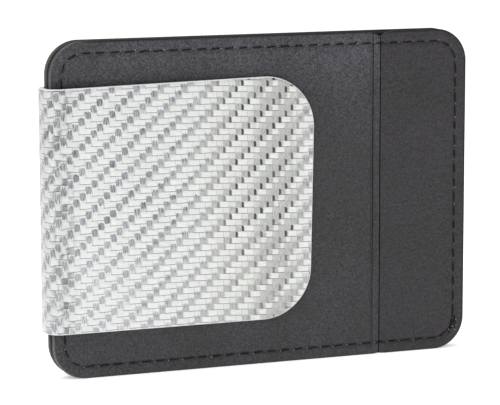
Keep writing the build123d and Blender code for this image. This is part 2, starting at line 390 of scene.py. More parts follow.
def speck(centre, size):
    """A small pale bead at a needle hole, made as lower thread pulled up through it: a painted
    glint.
    """
    vertices, faces = [np.array(centre) + (0, -size, 0)], []
    for ring in range(1, 4):
        polar = math.pi * ring / 4
        for m in range(6):
            a = math.pi * m / 3
            across, tall = math.sin(polar) * math.cos(a), 1.3 * math.sin(polar) * math.sin(a)
            vertices.append(np.array(centre) + size * np.array([across, -math.cos(polar), tall]))
    vertices.append(np.array(centre) + (0, size, 0))
    for m in range(6):
        n = (m + 1) % 6
        faces.append((0, 1 + m, 1 + n))
        faces.append((19, 13 + n, 13 + m))
        for ring in (0, 1):
            a = 1 + 6 * ring
            faces.append((a + m, a + 6 + m, a + 6 + n, a + n))
    return vertices, faces


def seam_threads(name, segments, outward, rng):
    """All the stitches of one seam as one mesh of separate closed threads."""
    vertices, faces, kinds = [], [], []

    def take(piece, kind):
        """Add one closed piece; kind is the number of its material."""
        v, f = piece
        faces.extend(tuple(len(vertices) + i for i in face) for face in f)
        vertices.extend(v)
        kinds.extend([kind] * len(f))

    for start, end, lift in segments:
        take(thread_segment(start, end, outward, lift), 0)
        run = "level" if abs(end[0] - start[0]) > abs(end[2] - start[2]) else "upright"
        # pale specks at some needle holes: painted glints
        if rng.random() < SPECK_CHANCE[run]:
            along = np.array(end) - np.array(start)
            at = np.array(start) - along / np.linalg.norm(along) * rng.uniform(0.05, 0.25)
            at = at + (0, -0.03 * outward, rng.uniform(-0.12, 0.2))
            take(speck(at, SPECK_RADIUS * rng.uniform(0.6, 1.15)), 1)
    obj = add_mesh(name, vertices, faces, thread, 60)
    obj.data.materials.append(glint_speck_thread)
    obj.data.polygons.foreach_set("material_index", kinds)
    make_outward(obj)
    return obj


def make_outward(obj):
    """Turn each closed shell of a mesh right side out."""
    work = bmesh.new()
    work.from_mesh(obj.data)
    bmesh.ops.recalc_face_normals(work, faces=work.faces)
    work.to_mesh(obj.data)
    work.free()


def ring_point(s, middle, half, corner):
    """Point at arc position s round a rounded rectangle, from the middle of its right side."""
    straight_z, straight_x = half[1] - corner, half[0] - corner
    quarter = straight_z + corner * math.pi / 2 + straight_x
    s = s % (4 * quarter)
    side = int(s // quarter)
    t = s - side * quarter if side % 2 == 0 else (side + 1) * quarter - s
    if t < straight_z:
        x, z = half[0], t
    elif t < straight_z + corner * math.pi / 2:
        a = (t - straight_z) / corner
        x, z = half[0] - corner + corner * math.cos(a), straight_z + corner * math.sin(a)
    else:
        x, z = half[0] - corner - (t - straight_z - corner * math.pi / 2), half[1]
    flip_x = -1 if side in (1, 2) else 1
    flip_z = -1 if side in (2, 3) else 1
    return middle[0] + flip_x * x, middle[1] + flip_z * z


def perimeter_segments(y, rng):
    """Stitches round the case, each a little aslant and a little uneven in length."""
    half = (CASE_HALF[0] - SEAM_INSET, CASE_HALF[1] - SEAM_INSET)
    corner = CASE_CORNER - SEAM_INSET
    length = 4 * (half[0] + half[1] - 2 * corner) + 2 * math.pi * corner
    count = round(length / STITCH_PITCH)
    pitch = length / count
    made = []
    for k in range(count):
        a = k * pitch + STITCH_GAP / 2 + rng.uniform(0, SHORTER)
        b = (k + 1) * pitch - STITCH_GAP / 2 - rng.uniform(0, SHORTER)
        p = np.array(ring_point(a, CASE_MIDDLE, half, corner))
        q = np.array(ring_point(b, CASE_MIDDLE, half, corner))
        along = (q - p) / np.linalg.norm(q - p)
        across = np.array([-along[1], along[0]]) * (SLANT + rng.uniform(-0.05, 0.05))
        p, q = p - across, q + across
        made.append(((p[0], y, p[1]), (q[0], y, q[1]), rng.uniform(-0.05, 0.0)))
    return made


# degrees round the bottom right corner, and distance from the corner's centre
LOCK_PLACES = (
    (-30, 5.4), (-8, 5.3), (-20, 4.7), (-24, 5.8), (-2, 5.0), (-14, 5.6), (-42, 5.2), (-16, 5.1),
)


def lock_segments(y, rng):
    """The few crossing stitches where the seam's ends are locked, bottom right corner."""
    centre = (CASE_MIDDLE[0] + CASE_HALF[0] - CASE_CORNER, CASE_CORNER)
    made = []
    for turn, radius in LOCK_PLACES:
        a = math.radians(turn)
        mid = np.array([centre[0] + radius * math.cos(a), centre[1] + radius * math.sin(a)])
        lean = a + math.pi / 2 + rng.uniform(-0.9, 0.9)
        half = 0.85 * np.array([math.cos(lean), math.sin(lean)])
        p, q = mid - half, mid + half
        made.append(((p[0], y, p[1]), (q[0], y, q[1]), -0.02))
    return made


# ---------------------------------------------------------------- sleeve on the rear
SLEEVE_LEATHER = 0.9
SLEEVE_FLANGE = 4.0       # flat border outside the raised part
SLEEVE_SEAM_INSET = 1.6
SLEEVE_CORNER = 6.0
SLEEVE_FACE = REAR_HIGH.y + SLEEVE_LEATHER      # outer face of that border


def sleeve_cover(material):
    """Leather formed over the clip's rear leg: raised in the middle, flat where it is sewn."""
    low, high = (SLEEVE_LOW.x, SLEEVE_LOW.z), (SLEEVE_HIGH.x, SLEEVE_HIGH.z)
    x = spaced(high[0] - low[0], EDGE_STEPS, corner_steps(SLEEVE_CORNER))
    cut = corner_cut(high[0] - low[0] - x, SLEEVE_CORNER)
    height = high[1] - low[1]
    near_edge = EDGE_STEPS + list(np.arange(0.9, 6.6, 0.17))
    v = spaced(height, near_edge, near_edge) / height
    z = low[1] + cut + v[:, None] * (height - 2 * cut)
    x = np.tile(low[0] + x, (len(v), 1))
    raised = SLEEVE_HIGH.y - SLEEVE_FACE
    end, top, bottom = high[0] - x, high[1] - z, z - low[1]
    near = np.minimum(np.minimum(end, np.minimum(top, bottom)), 9.0)
    margin = SLEEVE_FLANGE - 0.2
    dome = raised * smoothstep(near, margin - 0.5, margin + 2.7)
    d, s = sleeve_distance(x, z)
    from_hole = ((s / STITCH_PITCH + 0.5) % 1 - 0.5) * STITCH_PITCH
    seam = 0.09 * bump(d, 0.5) + 0.18 * bump(d, 0.3) * bump(from_hole, 0.36)
    edge = rolled(near, 0.45)
    open_edge = 0.25 * bump(x - low[0], 0.5)
    sag = np.maximum(waves(x, z, 13, 0.06, 12.3), 0)
    outside = SLEEVE_FACE + dome - np.minimum(seam + edge + open_edge + sag, 0.8)
    hollow = smoothstep(near, margin + 0.95, margin + 1.5)
    inside = REAR_HIGH.y + np.maximum(raised - 0.02, 0) * hollow
    inside = np.minimum(inside, outside - 0.08)
    return shell("clip_sleeve_cover", x, z, outside, inside, material)


def sleeve_path():
    """Corners of the sleeve's three-sided seam and its corner radius."""
    inset = SLEEVE_SEAM_INSET
    x_end, top = SLEEVE_HIGH.x - inset, SLEEVE_HIGH.z - inset
    return SLEEVE_LOW.x, x_end, SLEEVE_LOW.z + inset, top, SLEEVE_CORNER - inset


def sleeve_distance(x, z):
    """Signed distance to the sleeve's seam and arc position along it."""
    _, end, bottom, top, corner = sleeve_path()
    middle_z, half_z = (bottom + top) / 2, (top - bottom) / 2
    qx, qz = x - (end - corner), np.abs(z - middle_z) - (half_z - corner)
    in_corner = (qx > 0) & (qz > 0)
    d = np.where(in_corner, corner - np.hypot(qx, qz), corner - np.maximum(qx, qz))
    angle = np.arctan2(np.maximum(qz, 0), np.maximum(qx, 1e-9))
    straight = half_z - corner
    along_side = straight + corner * math.pi / 2 + end - corner - x
    off_corner = np.where(qx > qz, np.abs(z - middle_z), along_side)
    s = np.where(in_corner, straight + corner * angle, off_corner)
    return d, np.where(z >= middle_z, s, -s)


def sleeve_segments(y, rng):
    """Stitches along the sleeve's three sewn sides."""
    low, end, bottom, top, corner = sleeve_path()
    middle_z, straight = (bottom + top) / 2, (top - bottom) / 2 - corner
    half = straight + corner * math.pi / 2 + end - corner - low

    def point(s):
        """The seam's point at arc position s, from the middle of the sleeve's end."""
        t, sign = abs(s), 1 if s >= 0 else -1
        if t < straight:
            return end, middle_z + sign * t
        x, rise = end - corner - (t - straight - corner * math.pi / 2), corner
        if t < straight + corner * math.pi / 2:
            a = (t - straight) / corner
            x, rise = end - corner + corner * math.cos(a), corner * math.sin(a)
        return x, middle_z + sign * (straight + rise)

    made = []
    first = -int((half - 0.4) / STITCH_PITCH)
    for k in range(first, -first):
        a, b = k * STITCH_PITCH + STITCH_GAP / 2, (k + 1) * STITCH_PITCH - STITCH_GAP / 2
        p, q = point(a), point(b)
        made.append(((p[0], y, p[1]), (q[0], y, q[1]), rng.uniform(-0.05, 0.0)))
    return made


# ---------------------------------------------------------------- clip
SPINE_X = LEG_LOW.x
BEND_X = SPINE_X + BEND_RADIUS
LEG_Y = LEG_HIGH.y
BEND_Y = LEG_LOW.y + BEND_RADIUS
LEG_RUN = LEG_HIGH.x - BEND_X
SPINE_RUN = LEG_Y - LEG_LOW.y - 2 * BEND_RADIUS
BLADE_RUN = BLADE_HIGH.x - BEND_X
PRESS_RUN = BLADE_RUN - FLARE_LENGTH
TILT = math.asin((BLADE_STANDOFF - PRESS_GAP) / PRESS_RUN)
QUARTER = BEND_RADIUS * math.pi / 2
BLADE_START = LEG_RUN + 2 * QUARTER + SPINE_RUN + BEND_RADIUS * TILT
CLIP_RUN = BLADE_START + BLADE_RUN
TIP_LOW_Z = REAR_HIGH.z / 2 + TIP_RISE - TIP_HEIGHT / 2
TIP_HIGH_Z = TIP_LOW_Z + TIP_HEIGHT

# columns of the clip's grid along each length, from the leg's end to the blade's tip
LEG_COLUMNS = 23
CORNER_COLUMNS = 11
SPINE_COLUMNS = 4
SPINE_COLUMN = LEG_COLUMNS + CORNER_COLUMNS + SPINE_COLUMNS // 2    # half way across the spine
UV_MM = 100.0             # millimetres of cloth per unit of the weave's coordinates


def clip_point(s, depth):
    """Seen from above: the point at arc position s from the leg's end, depth below the outside."""
    if s <= LEG_RUN:
        return LEG_HIGH.x - s, LEG_Y - depth
    s -= LEG_RUN
    if s <= QUARTER:
        a = math.pi / 2 + s / BEND_RADIUS
        r = BEND_RADIUS - depth
        return BEND_X + r * math.cos(a), LEG_Y - BEND_RADIUS + r * math.sin(a)
    s -= QUARTER
    if s <= SPINE_RUN:
        return SPINE_X + depth, LEG_Y - BEND_RADIUS - s
    s -= SPINE_RUN
    if s <= QUARTER + BEND_RADIUS * TILT:
        a = math.pi + s / BEND_RADIUS
        r = BEND_RADIUS - depth
        return BEND_X + r * math.cos(a), BEND_Y + r * math.sin(a)
    s -= QUARTER + BEND_RADIUS * TILT
    x, y = s, -BEND_RADIUS + depth
    if s > PRESS_RUN:
        a = (s - PRESS_RUN) / FLARE_RADIUS
        x = PRESS_RUN + (FLARE_RADIUS + depth) * math.sin(a)
        y = -BEND_RADIUS - FLARE_RADIUS + (FLARE_RADIUS + depth) * math.cos(a)
    c, n = math.cos(TILT), math.sin(TILT)
    return BEND_X + x * c - y * n, BEND_Y + x * n + y * c


def fillet(before, at, after, radius, count):
    """Arc points and outward normals that round the corner at, between two straight lines."""
    before, at, after = (np.array(p, float) for p in (before, at, after))
    u, v = (before - at) / np.linalg.norm(before - at), (after - at) / np.linalg.norm(after - at)
    half = math.acos(float(u @ v)) / 2
    bisector = (u + v) / np.linalg.norm(u + v)
    centre = at + bisector * radius / math.sin(half)
    start, end = at + u * radius / math.tan(half), at + v * radius / math.tan(half)
    a, b = start - centre, end - centre
    sweep = math.atan2(a[0] * b[1] - a[1] * b[0], a @ b)
    turned = np.array([-a[1], a[0]])
    points, normals = [], []
    for k in range(count):
        t = sweep * k / (count - 1)
        n = a * math.cos(t) + turned * math.sin(t)
        points.append(centre + n)
        normals.append(n / radius)
    return points, normals


def clip_border():
    """Top and bottom edges of the unrolled clip as matched points (s, z) with normals."""
    tip_low, tip_high = (CLIP_RUN - TIP_LEAN, TIP_LOW_Z), (CLIP_RUN, TIP_HIGH_Z)
    stops = np.concatenate([
        np.linspace(0, LEG_RUN, LEG_COLUMNS + 1)[:-1],
        np.linspace(LEG_RUN, LEG_RUN + QUARTER, CORNER_COLUMNS + 1)[:-1],
        np.linspace(LEG_RUN + QUARTER, LEG_RUN + QUARTER + SPINE_RUN, SPINE_COLUMNS + 1)[:-1],
        np.linspace(LEG_RUN + QUARTER + SPINE_RUN, BLADE_START, CORNER_COLUMNS + 1),
    ])
    edges = []
    for z_spine, tip, other, up in (
        (LEG_HIGH.z, tip_high, tip_low, 1),
        (LEG_LOW.z, tip_low, tip_high, -1),
    ):
        root = (BLADE_START, z_spine)
        arc, arc_normals = fillet(root, tip, other, BLADE_CORNER, 22)
        line = np.linspace(np.array(root), arc[0], 56)[1:-1]
        slope = np.array([-(arc[0] - root)[1], (arc[0] - root)[0]])
        slope = slope / np.linalg.norm(slope) * up
        points = [np.array((s, z_spine)) for s in stops] + list(line) + arc
        normals = [np.array((0.0, up))] * len(stops) + [slope] * len(line) + arc_normals
        edges.append((np.array(points), np.array(normals)))
    return edges


def build_clip(name, columns, face_material, edge_material):
    """A length of the C as one closed mesh: outside, inside, and a rounded edge between them."""
    (top, top_n), (bottom, bottom_n) = clip_border()
    top, top_n, bottom, bottom_n = (a[columns] for a in (top, top_n, bottom, bottom_n))
    cols, rows = len(top), 64
    v = np.linspace(0, 1, rows)[:, None, None]
    e = CLIP_EDGE
    inset = (bottom - e * bottom_n) * (1 - v) + (top - e * top_n) * v
    full = bottom * (1 - v) + top * v
    vertices, uvs = [], []

    def place(points, depth):
        """Wrap unrolled points round the C, at one depth below its outside."""
        start = len(vertices)
        for s, z in points:
            x, y = clip_point(float(s), depth)
            vertices.append((x, y, z))
            uvs.append((s / UV_MM, z / UV_MM))
        return start

    out_start = place(inset.reshape(-1, 2), 0.0)
    in_start = place(inset.reshape(-1, 2), CLIP_THICKNESS)
    faces = grid_faces(rows, cols, out_start) + grid_faces(rows, cols, in_start, flip=True)
    edge_from = len(faces)
    rim = rim_indices(rows, cols)
    inset_rim = inset.reshape(-1, 2)[rim]
    full_rim = full.reshape(-1, 2)[rim]
    loops = [[out_start + i for i in rim]]
    for share, depth in (
        (0.7, 0.3 * e),
        (1.0, e),
        (1.0, CLIP_THICKNESS - e),
        (0.7, CLIP_THICKNESS - 0.3 * e),
    ):
        start = place(inset_rim + share * (full_rim - inset_rim), depth)
        loops.append([start + i for i in range(len(rim))])
    loops.append([in_start + i for i in rim])
    for a, b in zip(loops, loops[1:]):
        for k in range(len(rim)):
            n = (k + 1) % len(rim)
            faces.append((a[k], b[k], b[n], a[n]))
    obj = add_mesh(name, vertices, faces, face_material, 50)
    obj.data.materials.append(edge_material)
    for polygon in obj.data.polygons[edge_from:]:
        polygon.material_index = 1
    layer = obj.data.uv_layers.new(name="weave")
    for loop in obj.data.loops:
        layer.data[loop.index].uv = uvs[loop.vertex_index]
    make_outward(obj)
    return obj


# ---------------------------------------------------------------- materials
class Graph:
    """Short names for the nodes of one material."""

    def __init__(self, name):
        self.material = bpy.data.materials.new(name)
        self.material.use_nodes = True
        self.tree = self.material.node_tree
        self.shader = self.tree.nodes["Principled BSDF"]

    def put(self, socket, value):
        """Link an output to a socket, or set the socket to a constant."""
        if isinstance(value, bpy.types.NodeSocket):
            self.tree.links.new(value, socket)
        else:
            socket.default_value = value

    def node(self, kind, inputs=None, **settings):
        """A new node with its inputs linked or set."""
        made = self.tree.nodes.new(kind)
        for key, value in settings.items():
            setattr(made, key, value)
        for key, value in (inputs or {}).items():
            self.put(made.inputs[key], value)
        return made

    def math(self, operation, a, b=0.0, c=0.0):
        """One step of arithmetic."""
        made = self.node("ShaderNodeMath", operation=operation)
        for socket, value in zip(made.inputs, (a, b, c)):
            self.put(socket, value)
        return made.outputs[0]

    def mul(self, a, b):
        """a times b."""
        return self.math("MULTIPLY", a, b)

    def mad(self, a, b, c):
        """a times b, plus c."""
        return self.math("MULTIPLY_ADD", a, b, c)

    def point(self, x, y, z=0.0):
        """A place in a texture, or the name of a cell in it."""
        return self.node("ShaderNodeCombineXYZ", {"X": x, "Y": y, "Z": z}).outputs[0]

    def chance(self, cell):
        """One random number for each cell."""
        return self.node("ShaderNodeTexWhiteNoise", {"Vector": cell}).outputs["Value"]

    def place(self):
        """Position on the object, in metres."""
        return self.node("ShaderNodeTexCoord").outputs["Object"]

    def value(self, name):
        """A per-vertex number stored on the mesh."""
        return self.node("ShaderNodeAttribute", attribute_name=name).outputs["Fac"]

    def mix(self, factor, a, b):
        """Colour between a and b."""
        made = self.node("ShaderNodeMix", data_type="RGBA")
        self.put(made.inputs["Factor"], factor)
        self.put(made.inputs[6], a)
        self.put(made.inputs[7], b)
        return made.outputs[2]

    def blend(self, factor, a, b):
        """Number between a and b."""
        made = self.node("ShaderNodeMix", data_type="FLOAT")
        self.put(made.inputs["Factor"], factor)
        self.put(made.inputs[2], a)
        self.put(made.inputs[3], b)
        return made.outputs[0]

    def ramp(self, value, low, high, to_low=0.0, to_high=1.0):
        """Smooth step from to_low at low to to_high at high; low may be above high."""
        made = self.node("ShaderNodeMapRange", {
            "Value": value, "From Min": low, "From Max": high, "To Min": to_low, "To Max": to_high,
        }, interpolation_type="SMOOTHSTEP")
        return made.outputs[0]

    def noise(self, vector, scale, detail=2.0, roughness=0.5):
        """Cloudy noise around 0.5; the scale is in features per unit of the vector."""
        inputs = {"Vector": vector, "Scale": scale, "Detail": detail, "Roughness": roughness}
        return self.node("ShaderNodeTexNoise", inputs).outputs[0]

    def relief(self, height, strength, depth):
        """Bump normal; the depth is in metres."""
        inputs = {"Strength": strength, "Distance": depth, "Height": height}
        return self.node("ShaderNodeBump", inputs).outputs[0]

    def set(self, **values):
        """Set the shader's own inputs, with underscores for the spaces in their names."""
        for key, value in values.items():
            self.put(self.shader.inputs[key.replace("_", " ")], value)


def grey(value, blue=0.0):
    """A neutral colour, or one a little on the blue side."""
    return (value, value, value * (1 + blue), 1.0)


def scaled(tint, *factors):
    """A tint made lighter or darker, by one factor or by one per channel."""
    return tuple(min(1.0, c * k) for c, k in zip(tint, factors * 3)) + (1.0,)


EDGE_HIGHLIGHT_TINT = (0.17, 0.165, 0.16, 1)     # painted highlight on the rolled edge


def leather_material(name, tint):
    """Smooth black leather with fine grain and faint mottling, with a painted sheen and painted
    highlight and shade along the edges.
    """
    g = Graph(name)
    where = g.place()
    # the grain's scales are in features per metre
    cells = {"Vector": where, "Scale": 2300.0, "Randomness": 1.0}
    pebble = g.node("ShaderNodeTexVoronoi", cells, feature="SMOOTH_F1").outputs["Distance"]
    fine = g.noise(where, 4800.0, 3.0, 0.65)
    middle = g.noise(where, 900.0, 3.0, 0.6)
    broad = g.noise(where, 55.0, 4.0, 0.55)
    height = g.mad(pebble, -0.8, g.mul(fine, 0.9))
    height = g.mad(middle, 1.2, height)
    colour = g.mix(g.ramp(broad, 0.3, 0.7), scaled(tint, 0.8), scaled(tint, 1.25))
    # painted sheen: lighter and a little bluer where the stored sheen value is high
    painted_sheen = g.value("painted_sheen")
    colour = g.mix(painted_sheen, colour, scaled(tint, 2.4, 2.4, 2.65))
    grain = g.noise(where, 2700.0, 2.0, 0.7)
    # lighter grain specks: grain colour, with painted glints that grow much brighter in the
    # painted sheen
    grain_and_glint = g.mix(painted_sheen, scaled(tint, 2.3), scaled(tint, 5.4))
    colour = g.mix(g.ramp(grain, 0.50, 0.68), colour, grain_and_glint)
    colour = g.mix(g.ramp(grain, 0.49, 0.34), colour, scaled(tint, 0.1))
    painted_light_and_shade = g.value("painted_light_and_shade")
    # painted highlight: a pale line along the edges at the bend's side and the bottom
    painted_highlight = g.mul(g.math("MAXIMUM", painted_light_and_shade, 0.0), 0.75)
    colour = g.mix(painted_highlight, colour, EDGE_HIGHLIGHT_TINT)
    # painted shade: black and rough along the right and top edges and in the hem's crease
    painted = g.mul(g.math("MAXIMUM", g.mul(painted_light_and_shade, -1.0), 0.0), 0.9)
    colour = g.mix(painted, colour, grey(0.0))
    g.set(
        Base_Color=colour,
        Roughness=g.blend(painted, g.ramp(middle, 0.25, 0.75, 0.38, 0.52), 0.9),
        Normal=g.relief(height, 0.9, 0.00012),
    )
    return g.material


def edge_paint_material():
    """Black edge paint, with a painted highlight: paler along the corner of the leather at the
    bend's side and the bottom.
    """
    g = Graph("edge_paint")
    fine = g.noise(g.place(), 2600.0, 3.0, 0.6)
    painted_light_and_shade = g.value("painted_light_and_shade")
    # painted highlight along the cut edge
    painted_highlight = g.mul(g.ramp(painted_light_and_shade, 0.62, 0.95), g.ramp(fine, 0.3, 0.6, 0.35, 1.0))
    g.set(
        Base_Color=g.mix(painted_highlight, grey(0.006), grey(0.15)),
        Roughness=0.5,
        Specular_IOR_Level=0.22,
        Normal=g.relief(fine, 0.6, 0.00008),
    )
    return g.material


def plain_material(name, colour, roughness):
    """Fine-grained matt material for inner layers that show only at their edges."""
    g = Graph(name)
    grain = g.noise(g.place(), 1500.0, 3.0, 0.6)
    g.set(
        Base_Color=g.mix(grain, scaled(colour[:3], 0.75), scaled(colour[:3], 1.25)),
        Roughness=roughness,
        Specular_IOR_Level=0.2,
        Normal=g.relief(grain, 0.5, 0.00004),
    )
    return g.material


def thread_material():
    """Waxed black thread with fine twisted fibres."""
    g = Graph("waxed_thread")
    fibre = g.noise(g.place(), 9000.0, 2.0, 0.6)
    g.set(
        Base_Color=g.mix(fibre, grey(0.002), grey(0.007)),
        Roughness=0.6,
        Specular_IOR_Level=0.2,
        Normal=g.relief(fibre, 0.4, 0.00003),
    )
    return g.material


# millimetres from one tow to the next
WARP_PITCH = 1.40
WEFT_PITCH = 1.368


def twill_material():
    """Aluminised 2/2 twill under clear epoxy, laid out by the unrolled clip's own coordinates; its
    light and dark tones are mostly painted reflections and painted shade.
    """
    g = Graph("aluminised_twill")
    laid_out = g.node("ShaderNodeUVMap", uv_map="weave").outputs[0]
    split = g.node("ShaderNodeSeparateXYZ", {"Vector": laid_out})
    s = g.mad(split.outputs["X"], UV_MM, -BLADE_START)
    z = g.mul(split.outputs["Y"], UV_MM)

    # the cloth is pulled a little out of square towards the tip
    stretch = g.mul(g.ramp(s, 34.0, 60.0), 0.85)
    sag = g.mul(g.ramp(s, 30.0, 58.0), 0.75)
    u = g.math("SUBTRACT", g.mad(s, 1 / WARP_PITCH, BLADE_START / WARP_PITCH - 0.02), stretch)
    v = g.math("ADD", g.mad(z, 1 / WEFT_PITCH, -0.05), sag)
    # small wander of every tow, larger where the laminate bends
    near_by = {"Vector": g.point(g.mul(u, 0.55), g.mul(v, 0.55)), "Scale": 1.0, "Detail": 1.0}
    wander = g.node("ShaderNodeTexNoise", near_by).outputs["Color"]
    shift = g.node("ShaderNodeSeparateXYZ", {"Vector": wander})
    amount = g.ramp(s, 5.0, 0.0, 0.16, 0.75)
    u = g.mad(g.math("SUBTRACT", shift.outputs["X"], 0.5), amount, u)
    v = g.mad(g.math("SUBTRACT", shift.outputs["Y"], 0.5), amount, v)
    # which tows cross here, where on them, and which of the two is on top
    fu, fv = g.math("FRACT", u), g.math("FRACT", v)
    iu, iv = g.math("FLOOR", u), g.math("FLOOR", v)
    k = g.math("FLOORED_MODULO", g.math("SUBTRACT", iu, iv), 4.0)
    weft = g.math("LESS_THAN", k, 1.5)
    weft_along = g.mul(g.math("ADD", k, fu), 0.5)
    warp_along = g.mul(g.math("ADD", g.math("SUBTRACT", 3.0, k), fv), 0.5)

    # zones along the blade, from the bend to the tip
    bend = g.ramp(s, 3.5, 0.5)
    left = g.ramp(s, 38.0, 12.0)
    right = g.ramp(s, 27.0, 42.0)
    far = g.mul(g.ramp(s, 43.0, 48.0), g.ramp(s, 56.0, 53.0))
    tip = g.ramp(s, 53.5, 57.0)
    low = g.ramp(z, 36.0, 22.0)

    # fibres run along each tow, and each float has its own shade
    weft_lines = g.point(g.mul(u, 0.9), g.mul(v, 9.0))
    warp_lines = g.point(g.mul(u, 9.0), g.mul(v, 0.9))
    weft_fibre = g.ramp(g.noise(weft_lines, 1.0, 1.0), 0.3, 0.7)
    warp_fibre = g.ramp(g.noise(warp_lines, 1.0, 1.0), 0.3, 0.7)
    weft_chance = g.chance(g.point(g.math("SUBTRACT", iu, k), iv, 1.0))
    warp_chance = g.chance(g.point(iu, g.math("ADD", iv, k), 2.0))

    def size_to(value, power):
        """The size of a number, without its sign, raised to a power."""
        return g.math("POWER", g.math("ABSOLUTE", value), power)

    def crown(t, power):
        """1 in the middle of a tow, 0 at its sides."""
        return g.math("SUBTRACT", 1.0, size_to(g.mad(t, 2.0, -1.0), power))

    # weft floats: bright, a painted highlight, with a thin painted shadow below and darker ends of
    # painted shade
    tone_weft = g.mad(weft_fibre, 0.12, 0.66)
    tone_weft = g.mul(tone_weft, g.blend(weft_chance, 0.97, 1.03))
    # painted reflection: the weft dims towards the tip
    dim_reflection = g.mul(far, g.ramp(g.mad(weft_chance, 0.5, weft_along), 0.86, 0.70))
    tone_weft = g.blend(dim_reflection, tone_weft, g.mad(weft_fibre, 0.26, 0.32))
    # painted shade: patches of darker weft near the bend
    shaded_from = g.mad(weft_chance, -0.5, weft_along)
    shaded = g.mul(g.mul(bend, g.ramp(s, -3.6, -1.0)), g.ramp(shaded_from, 0.1, 0.4))
    patches = g.noise(g.point(g.mul(s, 0.5), g.mul(z, 0.28), 7.0), 1.0, 1.0)
    shaded = g.mul(shaded, g.ramp(patches, 0.37, 0.53))
    tone_weft = g.blend(shaded, tone_weft, g.mad(weft_fibre, 0.22, 0.16))
    tone_weft = g.mul(tone_weft, g.ramp(fv, 0.0, 0.17, g.blend(left, 0.06, 0.12), 1.0))
    tone_weft = g.mul(tone_weft, g.ramp(weft_along, 1.01, 0.92, 0.62, 1.0))
    tone_weft = g.mul(tone_weft, g.ramp(weft_along, 0.0, 0.14, 0.72, 1.0))
    # painted reflection: dark spots at the left end of the weft towards the tip
    spot = g.mul(g.ramp(weft_along, 0.25, 0.17), g.ramp(fv, 0.02, 0.12))
    spot = g.mul(spot, g.ramp(g.mad(weft_along, 3.0, fv), 1.5, 1.3))
    spot = g.mul(spot, g.mul(right, g.ramp(s, 58.0, 54.0)))
    strength = g.blend(low, g.blend(weft_chance, 0.8, 1.1), g.blend(weft_chance, 0.0, 0.8))
    spot = g.mul(spot, strength)
    tone_weft = g.blend(spot, tone_weft, 0.02)

    # warp floats: a painted dark reflection in the rounded middle near the bend, fading along the
    # blade
    round_blob = g.math("MAXIMUM", left, tip)
    reach = g.blend(round_blob, 0.13, g.blend(bend, 0.31, 0.38))
    up = g.math("DIVIDE", g.math("SUBTRACT", warp_along, 0.53), reach)
    across = g.mad(fu, 2.0, -1.0)
    far_out = g.math("ADD", size_to(up, 3.0), size_to(across, 5.0))
    ragged = g.mad(warp_fibre, g.blend(round_blob, 1.5, g.blend(bend, 0.55, 1.0)), far_out)
    blob = g.ramp(ragged, 1.55, 0.85)
    blob = g.mul(blob, g.math("SUBTRACT", 1.0, g.mul(right, g.blend(tip, 0.95, 0.45))))
    blob = g.mul(blob, g.blend(low, 1.0, g.blend(bend, 0.64, 0.8)))
    # painted shade: the lower part of each warp float is greyer
    upper = g.ramp(warp_along, 0.50, 0.62)
    upper = g.mul(upper, g.math("SUBTRACT", 1.0, g.mul(far, 0.75)))
    lower = g.mad(warp_fibre, 0.18, g.blend(g.ramp(s, 24.0, 10.0), 0.33, 0.58))
    tone_warp = g.blend(upper, lower, g.mad(warp_fibre, 0.08, g.blend(right, 0.68, 0.62)))
    tone_warp = g.blend(bend, tone_warp, g.mad(warp_fibre, 0.22, 0.52))
    dark = g.mul(g.mad(warp_fibre, 0.34, 0.14), g.blend(warp_chance, 0.7, 1.15))
    tone_warp = g.blend(blob, tone_warp, dark)
    # painted shade at the sides of each warp tow
    tone_warp = g.mul(tone_warp, g.blend(g.ramp(crown(fu, 6.0), 0.0, 0.4), 0.86, 1.0))

    # painted shade: darker towards the bend, and darker still round onto the spine
    tone = g.mul(g.blend(weft, tone_warp, tone_weft), g.ramp(s, 6.0, -2.0, 0.93, 0.81))
    tone = g.mul(tone, g.ramp(s, -2.5, -6.0, 1.0, 0.84))
    across_tow = g.blend(weft, fu, fv)
    along_tow = g.blend(weft, warp_along, weft_along)
    height = g.mul(crown(across_tow, 4.0), crown(along_tow, 3.0))
    height = g.mad(g.blend(weft, warp_fibre, weft_fibre), 0.15, height)
    # the warp is a touch blue near the bend, and the whole cloth warms towards the tip
    blue = g.blend(weft, g.ramp(s, 20.0, 46.0, 1.035, 0.955), g.ramp(s, 20.0, 46.0, 0.985, 0.955))
    blue = g.blend(tip, blue, 0.985)
    colour = g.node("ShaderNodeCombineColor", {
        "Red": g.mul(tone, 0.985), "Green": tone, "Blue": g.mul(tone, blue),
    })
    g.set(
        Base_Color=colour.outputs[0],
        Metallic=0.35,
        Roughness=0.4,
        Normal=g.relief(height, 0.35, 0.0001),
        Coat_Weight=0.7,
        Coat_Roughness=0.12,
        Coat_IOR=1.5,
    )
    return g.material


def glint_speck_material():
    """Paler thread for the specks at the needle holes: painted glints."""
    g = Graph("glint_speck_thread")
    g.set(Base_Color=g.mix(g.noise(g.place(), 6000.0), grey(0.06), grey(0.4)), Roughness=0.5)
    return g.material


def laminate_edge_material():
    """Cut edge of the laminate: cloudy glass and resin."""
    g = Graph("laminate_edge")
    layers = g.noise(g.place(), 2500.0, 2.0, 0.6)
    g.set(
        Base_Color=g.mix(layers, grey(0.5, 0.02), grey(0.86, 0.01)),
        Roughness=g.ramp(layers, 0.2, 0.8, 0.3, 0.5),
    )
    return g.material


# ---------------------------------------------------------------- build
panel_leather = leather_material("black_leather_panel", (0.0160, 0.0160, 0.0182))
strip_leather = leather_material("black_leather_strip", (0.0130, 0.0107, 0.0132))
edge_paint = edge_paint_material()
thread = thread_material()
glint_speck_thread = glint_speck_material()
twill = twill_material()
laminate_edge = laminate_edge_material()

rng = np.random.default_rng(7)

